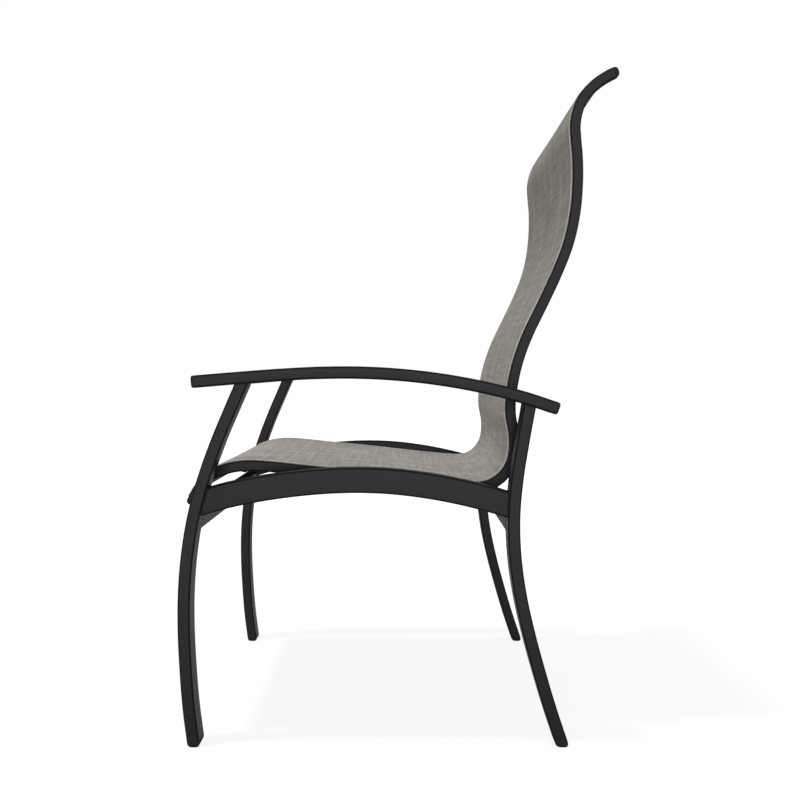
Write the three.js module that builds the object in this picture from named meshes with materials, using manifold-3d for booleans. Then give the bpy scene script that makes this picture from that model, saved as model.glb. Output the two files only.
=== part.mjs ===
// Sling patio chair: a high-back arm chair of bent rectangular tube with one woven sling.
// Millimetres. X runs to the sitter's left, Y to the back and Z up; the floor is z = 0.

import * as THREE from "three";
import { mergeVertices } from "three/addons/utils/BufferGeometryUtils.js";
import Module from "manifold-3d";

const manifold = await Module();
manifold.setup();

// Overall sizes
const overallHeight = 1156;
const overallDepth = 752;
const frameWidth = 630; // over the outer faces of the legs
const armHeight = 638; // floor to the crest of the arms
const seatHeight = 475; // floor to the crest of the seat, near its front edge

// Legs
const legWidth = 40;
const legThickness = 21;
const legWall = 1.6;
const legCorner = 2.2;

// Foot glides
const glideHeight = 9;
const glideContact = 9;
const glideStemLength = 24;

// Arms and their end caps
const armWidth = 50;
const armThickness = 21;
const armWall = 1.6;
const armCorner = 4;
const armCapThickness = 5;
const armCapEdge = 2.6;
const armCapStemLength = 18;

// Arched side panels between the legs
const panelHeight = 43;
const panelThickness = 25;
const panelWall = 1.5;
const panelCorner = 2.5;
const panelSetback = 7; // outer face of the panel behind the outer face of the legs

// Cross tubes between the two sides
const stretcherHeight = 38;
const stretcherThickness = 20;
const stretcherWall = 1.5;
const stretcherCorner = 2;
const frontStretcherShare = 0.7982; // its middle, as a share of the seat height
const rearStretcherShare = 0.7882;

// Sling rails: an extrusion with a keyhole channel in the face towards the sitter
const railWidth = 17;
const railDepth = 18.3;
const railWall = 1.6;
const railCorner = 2.2;
const railGap = 12; // inner face of the legs to the outer face of the rails
const railCapHeight = 8.4;
const railCapCrownShare = 0.35; // its highest line, as a share of the depth
const railCapStemSpans = 2; // how many knots of the rail the stems of its caps follow
const slotInset = 6; // middle of the slot in from the outer face of the rail

// Sling, its sewn hems and the rods in them
const slingThickness = 1.6;
const slingEdge = 0.6;
const hemThickness = 2; // both layers of the hem, where it passes the slot
const hemWall = 1.2; // one layer, round the rod
const rodDiameter = 5;

// Spreader bars, bowed away from the sitter
const barDiameter = 12;
const barBow = 28;
const barPinDiameter = 6;
const barPinLength = 4.5;
const seatBarShare = 0.2044; // where it meets the rails, as a share of their knots
const backBarShare = 0.7724;

// Bolts, washers, spacers and inserts that join the rails to the side frames
const boltDiameter = 5;
const boltHeadDiameter = 9;
const boltHeadHeight = 3;
const boltSocketDiameter = 3.6;
const boltSocketDepth = 1.8;
const boltHeadRim = 1.2; // round the socket
const boltReach = 12; // past the face that it screws into
const boltSetback = 12.8; // its axis, behind the rail's face towards the sitter
const washerDiameter = 10;
const washerThickness = 1.2;
const spacerDiameter = 10;
const insertDiameter = 8;
const insertLength = 10;
const insertFlangeDiameter = 10;
const insertFlangeThickness = 1;
const seatBoltShare = 0.2548; // as a share of the rails' knots
const backBoltShare = 0.4669;

// Fits and facets
const clearance = 0.3;
const overrun = 5; // how far a cut runs past what it cuts
const cornerSegments = 1;
const capSegments = 3;
const turnedSegments = 10;
const barSegments = 10;
const barSteps = 14;
const rodSegments = 6;
const channelSegments = 6; // round the keyhole channel, and round the hem in it
const ringsPerSpan = 1;
const halvings = 40; // when a height is looked for on a curve

// Places that follow from the sizes
const legPlane = (frameWidth - legWidth) / 2;
const legInnerFace = frameWidth / 2 - legWidth;
const panelPlane = frameWidth / 2 - panelSetback - panelThickness / 2;
const panelInnerFace = panelPlane - panelThickness / 2;
const railOuterFace = legInnerFace - railGap;
const railInnerFace = railOuterFace - railWidth;
const railPlane = railOuterFace - railWidth / 2;
const slotPlane = railOuterFace - slotInset;
const hemRadius = rodDiameter / 2 + clearance + hemWall;
const channelRadius = hemRadius + clearance;
const channelDepth = railWall + channelRadius;
const slotWidth = hemThickness + 2 * clearance;
const rearChamberDepth = channelDepth + channelRadius + railWall;

// Middle lines of the bent members in the side view: [Y as a share of the overall depth, Z as a share
// of the height named beside the table]. They run from the floor up, or from the front to the back.
const frontLegShares = [
  [-0.4638, 0], [-0.4749, 0.1], [-0.4818, 0.2], [-0.4859, 0.3], [-0.4857, 0.4], [-0.4793, 0.5],
  [-0.4657, 0.6], [-0.4434, 0.7], [-0.4134, 0.8], [-0.3778, 0.9], [-0.3523, 0.969],
]; // arm height
const rearLegShares = [
  [0.3582, 0], [0.3299, 0.1], [0.3047, 0.2], [0.2819, 0.3], [0.2634, 0.4], [0.252, 0.5],
  [0.2494, 0.6], [0.2564, 0.7], [0.2699, 0.8], [0.287, 0.911],
]; // arm height
const armShares = [
  [-0.4623, 0.959], [-0.4274, 0.9625], [-0.361, 0.9689], [-0.2682, 0.977], [-0.1757, 0.9822],
  [-0.0832, 0.9821], [0.0091, 0.9753], [0.1012, 0.9617], [0.1932, 0.9409], [0.2722, 0.9168],
  [0.3422, 0.8897],
]; // arm height
const panelShares = [
  [-0.4618, 0.8534], [-0.3887, 0.8857], [-0.3089, 0.9102], [-0.2158, 0.9291], [-0.1228, 0.9379],
  [-0.0297, 0.9341], [0.0634, 0.9164], [0.1432, 0.8917], [0.2097, 0.8646], [0.2629, 0.8383],
]; // seat height

// The rails' face towards the sitter, from the knees over the seat and up the back.
const railSeatShares = [
  [-0.494, 0.8626], [-0.492, 0.8685], [-0.4866, 0.8845], [-0.4761, 0.911], [-0.4643, 0.936],
  [-0.4498, 0.957], [-0.4331, 0.9736], [-0.4113, 0.9857], [-0.3866, 0.9948], [-0.3515, 0.9994],
  [-0.3038, 0.9954], [-0.2211, 0.9815], [-0.1095, 0.9642], [0.0373, 0.9383], [0.11, 0.9267],
  [0.1478, 0.9218], [0.1743, 0.9206], [0.194, 0.9257], [0.2103, 0.9386], [0.2237, 0.9558],
  [0.2343, 0.9779],
]; // seat height
const railBackShares = [
  [0.2415, 0.0023], [0.2456, 0.0263], [0.2464, 0.0517], [0.2439, 0.0773], [0.2393, 0.1042],
  [0.2373, 0.1351], [0.2408, 0.1791], [0.2492, 0.2297], [0.2627, 0.2805], [0.281, 0.3313],
  [0.3146, 0.4075], [0.3467, 0.4836], [0.3727, 0.5595], [0.3873, 0.636], [0.3927, 0.7122],
  [0.3922, 0.771], [0.3886, 0.8179], [0.3872, 0.8531], [0.3922, 0.8882], [0.4051, 0.9252],
  [0.4232, 0.9508], [0.4444, 0.9724], [0.4663, 0.9885], [0.4822, 0.998], [0.4838, 0.9988],
]; // height of the back above the seat

// Materials
const blackCoat = { color: 0x2c2c2e, roughness: 0.55, metalness: 0.3 };
const blackPlastic = { color: 0x1b1b1c, roughness: 0.6, metalness: 0 };
const wovenSling = { color: 0x98958c, roughness: 0.85, metalness: 0 };
const greyPlastic = { color: 0xb9b8b2, roughness: 0.5, metalness: 0 };
const plainSteel = { color: 0xa7a9ab, roughness: 0.35, metalness: 0.9 };

// Solids: a closed three.js geometry becomes a solid for joins and cuts, and a solid a geometry.
function solid(geometry) {
  const bare = geometry.clone();
  bare.deleteAttribute("normal");
  bare.deleteAttribute("uv");
  const merged = mergeVertices(bare);
  return new manifold.Manifold(
    new manifold.Mesh({
      numProp: 3,
      vertProperties: merged.attributes.position.array,
      triVerts: new Uint32Array(merged.index.array),
    }),
  );
}

function geometryOf(body) {
  const { vertProperties, triVerts } = body.getMesh();
  const shared = new THREE.BufferGeometry();
  shared.setAttribute("position", new THREE.BufferAttribute(vertProperties, 3));
  shared.setIndex(new THREE.BufferAttribute(triVerts, 1));
  const faceted = shared.toNonIndexed();
  faceted.computeVertexNormals();
  return faceted;
}

function carve(geometry, ...cutters) {
  return geometryOf(cutters.reduce((body, cutter) => body.subtract(solid(cutter)), solid(geometry)));
}

function join(...geometries) {
  return geometryOf(geometries.map(solid).reduce((body, other) => body.add(other)));
}

// Curves in the side view. A ring of a swept tube stands at each knot, so that neighbours that
// follow one curve share their rings.
class SideCurve extends THREE.CatmullRomCurve3 {
  constructor(points) {
    super(points.map(([y, z]) => new THREE.Vector3(0, y, z)), false, "centripetal");
  }

  get spans() {
    return this.points.length - 1;
  }

  getUtoTmapping(share) {
    return share;
  }
}

class Stretch extends THREE.Curve {
  constructor(whole, from, to) {
    super();
    this.whole = whole;
    this.from = from;
    this.to = to;
  }

  getPoint(share) {
    return this.whole.getPoint(THREE.MathUtils.lerp(this.from, this.to, share));
  }

  getUtoTmapping(share) {
    return share;
  }
}

function sideCurve(shares, height, base = 0) {
  return new SideCurve(shares.map(([y, z]) => [y * overallDepth, base + z * height]));
}

// The place of a share of a curve, its direction, and the side-view normal on its left, which is
// towards the sitter on the rails, forwards on the legs and upwards on the arms.
function frameAt(curve, share) {
  const place = curve.getPoint(share);
  const along = curve.getTangent(share);
  const normal = new THREE.Vector3(1, 0, 0).cross(along);
  return { place, along, normal };
}

function offsetPlace(curve, share, distance) {
  const { place, normal } = frameAt(curve, share);
  return place.addScaledVector(normal, distance);
}

// The share at which a curve that rises steadily reaches a height.
function shareAtHeight(curve, height) {
  let low = 0;
  let high = 1;
  for (let i = 0; i < halvings; i++) {
    const middle = (low + high) / 2;
    if (curve.getPoint(middle).z < height) low = middle;
    else high = middle;
  }
  return (low + high) / 2;
}

// Sections
function roundedRectangle(width, height, corner, middleY = 0) {
  const x = width / 2;
  const y = height / 2;
  const shape = new THREE.Shape();
  shape.moveTo(corner - x, middleY - y);
  shape.lineTo(x - corner, middleY - y);
  shape.quadraticCurveTo(x, middleY - y, x, middleY - y + corner);
  shape.lineTo(x, middleY + y - corner);
  shape.quadraticCurveTo(x, middleY + y, x - corner, middleY + y);
  shape.lineTo(corner - x, middleY + y);
  shape.quadraticCurveTo(-x, middleY + y, -x, middleY + y - corner);
  shape.lineTo(-x, middleY - y + corner);
  shape.quadraticCurveTo(-x, middleY - y, corner - x, middleY - y);
  return shape;
}

function rectangle(width, height, middleY = 0) {
  return new THREE.Shape([
    new THREE.Vector2(-width / 2, middleY - height / 2),
    new THREE.Vector2(width / 2, middleY - height / 2),
    new THREE.Vector2(width / 2, middleY + height / 2),
    new THREE.Vector2(-width / 2, middleY + height / 2),
  ]);
}

// The outline of a rounded rectangle moved in by a distance, with its cut corners moved in as far.
function insetRectangle(width, height, corner, distance) {
  const innerCorner = corner - distance * (2 - Math.SQRT2);
  return roundedRectangle(width - 2 * distance, height - 2 * distance, innerCorner);
}

function tubeSection(width, height, corner, wall) {
  const section = roundedRectangle(width, height, corner);
  section.holes.push(insetRectangle(width, height, corner, wall));
  return section;
}

// Outlines and holes alike run counter-clockwise here, whichever way round their points were given.
function polygon(points) {
  const corners = points.map(([x, y]) => new THREE.Vector2(x, y));
  return new THREE.Shape(THREE.ShapeUtils.isClockWise(corners) ? corners.reverse() : corners);
}

// Points of a circle from one angle to another, both counted from straight up.
function arcPoints(middle, radius, from, to, steps) {
  const points = [];
  for (let i = 0; i <= steps; i++) {
    const angle = THREE.MathUtils.lerp(from, to, i / steps);
    points.push([middle[0] + radius * Math.sin(angle), middle[1] + radius * Math.cos(angle)]);
  }
  return points;
}

function round(middle, radius, segments) {
  return polygon(arcPoints(middle, radius, 0, 2 * Math.PI, segments).slice(1));
}

// Sweeps
function sweep(section, path, steps) {
  return new THREE.ExtrudeGeometry(section, {
    steps,
    bevelEnabled: false,
    curveSegments: cornerSegments,
    extrudePath: path,
  });
}

// A side-view outline, [Y, Z], as a plate across X with its middle at x = 0.
const sideViewBasis = new THREE.Matrix4().makeBasis(
  new THREE.Vector3(0, 1, 0),
  new THREE.Vector3(0, 0, 1),
  new THREE.Vector3(1, 0, 0),
);

function plate(outline, width, curveSegments = cornerSegments) {
  const geometry = new THREE.ExtrudeGeometry(outline, { depth: width, bevelEnabled: false, curveSegments });
  return geometry.translate(0, 0, -width / 2).applyMatrix4(sideViewBasis);
}

// All of the side view on one side of a member, as a plate that trims what butts against it.
function beyond(curve, distance, towards) {
  const edge = [];
  for (let i = 0; i <= curve.spans * ringsPerSpan; i++) {
    const { y, z } = offsetPlace(curve, i / (curve.spans * ringsPerSpan), distance);
    edge.push([y, z]);
  }
  const [first, last] = [edge[0], edge[edge.length - 1]];
  const far = [last, first].map(([y, z]) => [y + towards[0] * overallHeight, z + towards[1] * overallHeight]);
  return plate(polygon([...edge, ...far]), 2 * frameWidth);
}

// A round piece about the X axis from [X, radius] pairs that run round its section.
function turnedAcross(profile, segments = turnedSegments) {
  const points = profile.map(([x, radius]) => new THREE.Vector2(radius, -x));
  return new THREE.LatheGeometry(points, segments).rotateZ(Math.PI / 2);
}

function ringAcross(fromX, toX, innerDiameter, outerDiameter) {
  const [inner, outer] = [innerDiameter / 2, outerDiameter / 2];
  return turnedAcross([
    [fromX, inner],
    [toX, inner],
    [toX, outer],
    [fromX, outer],
    [fromX, inner],
  ]);
}

function rodAcross(fromX, toX, diameter) {
  return turnedAcross([
    [fromX, 0],
    [toX, 0],
    [toX, diameter / 2],
    [fromX, diameter / 2],
    [fromX, 0],
  ]);
}

const chair = new THREE.Group();

function addPiece(name, geometry, finish, x = 0, y = 0, z = 0) {
  const mesh = new THREE.Mesh(geometry, new THREE.MeshStandardMaterial(finish));
  mesh.name = name;
  mesh.position.set(x, y, z);
  chair.add(mesh);
  return mesh;
}

const sides = [
  { side: "left", sign: 1 },
  { side: "right", sign: -1 },
];

// The members' curves
const frontLegCurve = sideCurve(frontLegShares, armHeight);
const rearLegCurve = sideCurve(rearLegShares, armHeight);
const armCurve = sideCurve(armShares, armHeight);
const panelCurve = sideCurve(panelShares, seatHeight);
const railCurve = new SideCurve([
  ...railSeatShares.map(([y, z]) => [y * overallDepth, z * seatHeight]),
  ...railBackShares.map(([y, z]) => [y * overallDepth, seatHeight + z * (overallHeight - seatHeight)]),
]);

// Fasteners: each joins a rail to the side frame at a share of the rail's length.
const joints = [
  { place: "seat", share: seatBoltShare, frameFace: panelInnerFace },
  { place: "back", share: backBoltShare, frameFace: legInnerFace },
].map((joint) => ({ ...joint, axis: offsetPlace(railCurve, joint.share, -boltSetback) }));
const [seatJoint, backJoint] = joints;

function holeAt(axis, fromX, toX, diameter) {
  return rodAcross(fromX, toX, diameter).translate(0, axis.y, axis.z);
}

function addFasteners({ side, sign }) {
  for (const { place, axis, frameFace } of joints) {
    const washerX = railInnerFace - clearance;
    const headX = washerX - washerThickness - clearance;
    const flangeX = frameFace - clearance;
    const spacerEnd = flangeX - insertFlangeThickness - clearance;
    const threadClearance = boltDiameter + 2 * clearance;
    const radius = boltDiameter / 2;
    const bolt = turnedAcross([
      [headX - boltHeadHeight + boltSocketDepth, 0],
      [frameFace + boltReach, 0],
      [frameFace + boltReach, radius],
      [headX, radius],
      [headX, boltHeadDiameter / 2],
      [headX - boltHeadHeight / 2, boltHeadDiameter / 2],
      [headX - boltHeadHeight, boltSocketDiameter / 2 + boltHeadRim],
      [headX - boltHeadHeight, boltSocketDiameter / 2],
      [headX - boltHeadHeight + boltSocketDepth, boltSocketDiameter / 2],
      [headX - boltHeadHeight + boltSocketDepth, 0],
    ]);
    const washer = ringAcross(washerX - washerThickness, washerX, threadClearance, washerDiameter);
    const spacer = ringAcross(railOuterFace + clearance, spacerEnd, threadClearance, spacerDiameter);
    const insert = turnedAcross([
      [flangeX - insertFlangeThickness, threadClearance / 2],
      [frameFace + insertLength, threadClearance / 2],
      [frameFace + insertLength, insertDiameter / 2],
      [flangeX, insertDiameter / 2],
      [flangeX, insertFlangeDiameter / 2],
      [flangeX - insertFlangeThickness, insertFlangeDiameter / 2],
      [flangeX - insertFlangeThickness, threadClearance / 2],
    ]);
    const pieces = [
      ["rail_bolt", bolt, plainSteel],
      ["rail_washer", washer, plainSteel],
      ["rail_spacer", spacer, blackPlastic],
      ["threaded_insert", insert, plainSteel],
    ];
    for (const [name, geometry, finish] of pieces) {
      const mesh = addPiece(`${name}_${place}_${side}`, geometry, finish, 0, axis.y, axis.z);
      if (sign < 0) mesh.rotation.z = Math.PI;
    }
  }
}

// The stem of a plug in a tube's end: it fills the tube along -Z and stands a little out of it.
function plugStem(width, thickness, corner, wall, length) {
  const outline = insetRectangle(width, thickness, corner, wall + clearance);
  const options = { depth: length + 2 * clearance, bevelEnabled: false, curveSegments: cornerSegments };
  return new THREE.ExtrudeGeometry(outline, options).translate(0, 0, -length);
}

// Legs, cut to lie under the arms and bored for the inserts of the back joints
const aboveArm = beyond(armCurve, -armThickness / 2 - clearance, [0, 1]);
const insertBore = insertDiameter + 2 * clearance;

function legTube(curve) {
  const foot = shareAtHeight(curve, glideHeight);
  const section = tubeSection(legWidth, legThickness, legCorner, legWall);
  const tube = sweep(section, new Stretch(curve, foot, 1), curve.spans * ringsPerSpan);
  return carve(tube, aboveArm);
}

// A glide fills the end of the leg, rounds over below it and ends in a flat on the floor.
function footGlide(curve) {
  const foot = shareAtHeight(curve, glideHeight);
  const { place, along, normal } = frameAt(curve, foot);
  const shoulder = place.clone().addScaledVector(along, -clearance);
  const at = (across, up) => shoulder.clone().addScaledVector(normal, across).addScaledVector(along, up);
  const floorPoint = shoulder.clone().addScaledVector(along, -shoulder.z / along.z);
  const [front, back] = [at(legThickness / 2, 0), at(-legThickness / 2, 0)];
  const frontCorner = front.clone().addScaledVector(along, -front.z / along.z);
  const backCorner = back.clone().addScaledVector(along, -back.z / along.z);
  const outline = new THREE.Shape();
  outline.moveTo(front.y, front.z);
  outline.quadraticCurveTo(frontCorner.y, 0, floorPoint.y - glideContact / 2, 0);
  outline.lineTo(floorPoint.y + glideContact / 2, 0);
  outline.quadraticCurveTo(backCorner.y, 0, back.y, back.z);
  const stem = plugStem(legWidth, legThickness, legCorner, legWall, glideStemLength);
  const turn = new THREE.Matrix4().makeBasis(new THREE.Vector3(1, 0, 0), normal, along.clone().negate());
  stem.applyMatrix4(turn.setPosition(place));
  return join(plate(outline, legWidth, capSegments), stem);
}

function addLegs({ side, sign }) {
  const insertHole = holeAt(backJoint.axis, -legWidth / 2 - overrun, 0, insertBore);
  const rearTube = carve(legTube(rearLegCurve), insertHole);
  const rearLeg = addPiece(`rear_leg_${side}`, rearTube, blackCoat, sign * legPlane);
  addPiece(`front_leg_${side}`, legTube(frontLegCurve), blackCoat, sign * legPlane);
  addPiece(`foot_glide_front_${side}`, footGlide(frontLegCurve), blackPlastic, sign * legPlane);
  addPiece(`foot_glide_rear_${side}`, footGlide(rearLegCurve), blackPlastic, sign * legPlane);
  if (sign < 0) rearLeg.scale.x = -1;
}

// Arms and the caps in their ends
function endCap(width, thickness, corner, wall, headThickness, stemLength) {
  const edge = armCapEdge;
  const headOutline = roundedRectangle(width - 2 * edge, thickness - 2 * edge, corner - edge);
  const head = new THREE.ExtrudeGeometry(headOutline, {
    depth: headThickness - 2 * edge,
    bevelThickness: edge,
    bevelSize: edge,
    bevelSegments: capSegments - 1,
    curveSegments: cornerSegments,
  }).translate(0, 0, edge + clearance);
  return join(head, plugStem(width, thickness, corner, wall, stemLength));
}

// Stands a piece, whose Z axis points out of a tube's end, on that end.
function standOnEnd(mesh, curve, end) {
  const { place, along, normal } = frameAt(curve, end);
  const outwards = along.clone().multiplyScalar(end === 0 ? -1 : 1);
  const across = normal.clone().cross(outwards);
  const turn = new THREE.Matrix4().makeBasis(across, normal, outwards);
  mesh.quaternion.setFromRotationMatrix(turn);
  mesh.position.y = place.y;
  mesh.position.z = place.z;
}

function addArm({ side, sign }) {
  const section = tubeSection(armWidth, armThickness, armCorner, armWall);
  const tube = sweep(section, armCurve, armCurve.spans * ringsPerSpan);
  addPiece(`arm_${side}`, tube, blackCoat, sign * legPlane);
  for (const [place, end] of [["front", 0], ["rear", 1]]) {
    const cap = endCap(armWidth, armThickness, armCorner, armWall, armCapThickness, armCapStemLength);
    const mesh = addPiece(`arm_end_cap_${place}_${side}`, cap, blackPlastic, sign * legPlane);
    standOnEnd(mesh, armCurve, end);
  }
}

// Side panels, cut to fit between the legs and bored for the inserts of the seat joints
const behindFrontLeg = beyond(frontLegCurve, -legThickness / 2 - clearance, [-1, 0]);
const beforeRearLeg = beyond(rearLegCurve, legThickness / 2 + clearance, [1, 0]);

function addPanel({ side, sign }) {
  const section = tubeSection(panelThickness, panelHeight, panelCorner, panelWall);
  const tube = sweep(section, panelCurve, panelCurve.spans * ringsPerSpan);
  const insertHole = holeAt(seatJoint.axis, -panelThickness / 2 - overrun, 0, insertBore);
  const panel = carve(tube, behindFrontLeg, beforeRearLeg, insertHole);
  const mesh = addPiece(`side_panel_${side}`, panel, blackCoat, sign * panelPlane);
  if (sign < 0) mesh.scale.x = -1;
}

// Cross tubes, turned to lie flush with the faces of the legs that they join
function stretcherFrame(curve, heightShare) {
  const { place, along } = frameAt(curve, shareAtHeight(curve, heightShare * seatHeight));
  return { place, tilt: Math.atan2(-along.y, along.z) };
}

function stretcherPrism(section, frame, length) {
  return plate(section, length).rotateX(frame.tilt).translate(0, frame.place.y, frame.place.z);
}

const frontStretcher = stretcherFrame(frontLegCurve, frontStretcherShare);
const rearStretcher = stretcherFrame(rearLegCurve, rearStretcherShare);

function addStretchers() {
  const section = tubeSection(stretcherThickness, stretcherHeight, stretcherCorner, stretcherWall);
  const length = 2 * (legInnerFace - clearance);
  addPiece("front_stretcher", stretcherPrism(section, frontStretcher, length), blackCoat);
  addPiece("rear_stretcher", stretcherPrism(section, rearStretcher, length), blackCoat);
}

// Sling rails. The section has X across, outwards on the left side, and Y towards the sitter, with
// zero on the face that the sling crosses.
function railSection(sign) {
  const half = railWidth / 2;
  const slot = half - slotInset;
  const mouth = slotWidth / 2;
  const opening = Math.asin(mouth / channelRadius);
  const middle = [slot, -channelDepth];
  const channel = arcPoints(middle, channelRadius, 2 * Math.PI - opening, opening, channelSegments);
  const outline = [
    [slot + mouth, 0],
    [half - railCorner, 0],
    [half, -railCorner],
    [half, railCorner - railDepth],
    [half - railCorner, -railDepth],
    [railCorner - half, -railDepth],
    [-half, railCorner - railDepth],
    [-half, -railCorner],
    [railCorner - half, 0],
    [slot - mouth, 0],
    ...channel,
  ];
  const chamberSide = slot - channelRadius - railWall;
  const chamber = [
    [railWall - half, -railWall],
    [chamberSide, -railWall],
    [chamberSide, -rearChamberDepth],
    [half - railWall, -rearChamberDepth],
    [half - railWall, railWall - railDepth],
    [railWall - half, railWall - railDepth],
  ];
  const flip = ([x, y]) => [-sign * x, y];
  const section = polygon(outline.map(flip));
  section.holes.push(polygon(chamber.map(flip)));
  return section;
}

function barHole(share, sign) {
  const axis = offsetPlace(railCurve, share, -railDepth / 2);
  const [from, to] = [-sign * (railWidth / 2 + overrun), -sign * (railWidth / 2 - 2 * railWall)];
  return holeAt(axis, Math.min(from, to), Math.max(from, to), barPinDiameter + 2 * clearance);
}

// The caps round over the ends of the rails. The front ones are notched over the front stretcher.
const overStretcher = stretcherPrism(
  rectangle(stretcherThickness + 2 * clearance, stretcherHeight + 2 * clearance),
  frontStretcher,
  2 * frameWidth,
);

function railCap(end) {
  const { place, along, normal } = frameAt(railCurve, end);
  const out = along.clone().multiplyScalar(end === 0 ? -1 : 1);
  const at = (depth, height) => {
    const point = place.clone().addScaledVector(normal, -depth).addScaledVector(out, height);
    return [point.y, point.z];
  };
  const outline = new THREE.Shape();
  outline.moveTo(...at(0, clearance));
  outline.quadraticCurveTo(...at(0, railCapHeight), ...at(railCapCrownShare * railDepth, railCapHeight));
  outline.quadraticCurveTo(...at(railDepth, railCapHeight), ...at(railDepth, clearance));
  const stemWidth = railWidth - 2 * railWall - 2 * clearance;
  const [stemFront, stemBack] = [rearChamberDepth + clearance, railDepth - railWall - clearance];
  const stemSection = rectangle(stemWidth, stemBack - stemFront, -(stemFront + stemBack) / 2);
  const stemReach = railCapStemSpans / railCurve.spans;
  const stemPath = new Stretch(railCurve, ...(end === 0 ? [0, stemReach] : [1 - stemReach, 1]));
  const neck = polygon([
    at(stemFront, -clearance),
    at(stemBack, -clearance),
    at(stemBack, 2 * clearance),
    at(stemFront, 2 * clearance),
  ]);
  const cap = join(
    plate(outline, railWidth, capSegments),
    plate(neck, stemWidth),
    sweep(stemSection, stemPath, railCapStemSpans * ringsPerSpan),
  );
  return end === 0 ? carve(cap, overStretcher) : cap;
}

function addRail({ side, sign }) {
  const tube = sweep(railSection(sign), railCurve, railCurve.spans * ringsPerSpan);
  const boltHoles = joints.map(({ axis }) =>
    holeAt(axis, -railWidth / 2 - overrun, railWidth / 2 + overrun, boltDiameter + 2 * clearance),
  );
  const barHoles = [seatBarShare, backBarShare].map((share) => barHole(share, sign));
  const rail = carve(tube, overStretcher, ...boltHoles, ...barHoles);
  addPiece(`sling_rail_${side}`, rail, blackCoat, sign * railPlane);
  addPiece(`rail_end_cap_front_${side}`, railCap(0), blackPlastic, sign * railPlane);
  addPiece(`rail_end_cap_top_${side}`, railCap(1), blackPlastic, sign * railPlane);
}

// The sling runs between the second and the last but one knot of the rails, and so do its rods.
const slingPath = new Stretch(railCurve, 1 / railCurve.spans, 1 - 1 / railCurve.spans);
const slingSteps = (railCurve.spans - 2) * ringsPerSpan;

function slingSection() {
  const under = clearance;
  const top = under + slingThickness;
  const half = hemThickness / 2;
  const edge = slotPlane + half;
  const opening = Math.asin(half / hemRadius);
  const rod = [slotPlane, -channelDepth];
  const bulb = arcPoints(rod, hemRadius, opening, 2 * Math.PI - opening, channelSegments);
  const rightHalf = [[edge - slingEdge, top], [edge, top - slingEdge], ...bulb, [slotPlane - half, under]];
  const leftHalf = rightHalf.map(([x, y]) => [-x, y]).reverse();
  const section = polygon([...rightHalf, ...leftHalf]);
  for (const middle of [slotPlane, -slotPlane]) {
    section.holes.push(round([middle, -channelDepth], rodDiameter / 2 + clearance, rodSegments));
  }
  return section;
}

function addSling() {
  addPiece("sling", sweep(slingSection(), slingPath, slingSteps), wovenSling);
  const rodSection = round([0, -channelDepth], rodDiameter / 2, rodSegments);
  for (const { side, sign } of sides) {
    addPiece(`spline_rod_${side}`, sweep(rodSection, slingPath, slingSteps), greyPlastic, sign * slotPlane);
  }
}

// Spreader bars: round bars, level at both ends, that bow away from the sitter
class BowedLine extends THREE.Curve {
  constructor(halfSpan, place, away) {
    super();
    this.halfSpan = halfSpan;
    this.place = place;
    this.away = away;
  }

  getPoint(share) {
    const drop = (barBow * (1 - Math.cos(2 * Math.PI * share))) / 2;
    const point = this.place.clone().addScaledVector(this.away, drop);
    point.x = THREE.MathUtils.lerp(-this.halfSpan, this.halfSpan, share);
    return point;
  }
}

function spreaderBar(share) {
  const { normal } = frameAt(railCurve, share);
  const place = offsetPlace(railCurve, share, -railDepth / 2);
  const halfSpan = railInnerFace - clearance;
  const line = new BowedLine(halfSpan, place, normal.negate());
  const section = round([0, 0], barDiameter / 2, barSegments);
  const bar = sweep(section, line, barSteps);
  const pins = [1, -1].map((sign) => {
    const ends = [sign * (halfSpan - barPinLength), sign * (halfSpan + barPinLength)];
    return holeAt(place, Math.min(...ends), Math.max(...ends), barPinDiameter);
  });
  return join(bar, ...pins);
}

function addSpreaderBars() {
  addPiece("seat_spreader_bar", spreaderBar(seatBarShare), blackCoat);
  addPiece("back_spreader_bar", spreaderBar(backBarShare), blackCoat);
}

for (const place of sides) {
  addLegs(place);
  addArm(place);
  addPanel(place);
  addRail(place);
  addFasteners(place);
}
addStretchers();
addSling();
addSpreaderBars();

export default chair;
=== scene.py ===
import math

import bpy
import numpy as np
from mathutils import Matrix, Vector


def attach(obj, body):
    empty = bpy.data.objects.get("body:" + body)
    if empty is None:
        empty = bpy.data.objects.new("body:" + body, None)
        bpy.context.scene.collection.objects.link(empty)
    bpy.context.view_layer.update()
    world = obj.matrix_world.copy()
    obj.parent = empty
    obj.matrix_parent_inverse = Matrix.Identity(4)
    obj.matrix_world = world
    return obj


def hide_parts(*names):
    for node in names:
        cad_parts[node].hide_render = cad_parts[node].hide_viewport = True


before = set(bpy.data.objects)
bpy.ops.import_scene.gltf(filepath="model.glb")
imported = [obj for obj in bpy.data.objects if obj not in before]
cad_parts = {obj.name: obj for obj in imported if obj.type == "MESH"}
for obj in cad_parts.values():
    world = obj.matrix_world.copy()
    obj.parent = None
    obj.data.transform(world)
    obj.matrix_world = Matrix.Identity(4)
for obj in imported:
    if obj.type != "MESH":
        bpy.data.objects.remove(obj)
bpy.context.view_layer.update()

# Sling patio chair, dressed over its CAD frame. Lengths are in millimetres until a mesh is made;
# X runs to the sitter's left, Y to the back and Z up.
MM = 0.001

# Overall sizes
overall_height = 1156
overall_depth = 752
frame_width = 630
arm_height = 638
seat_height = 475

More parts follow.
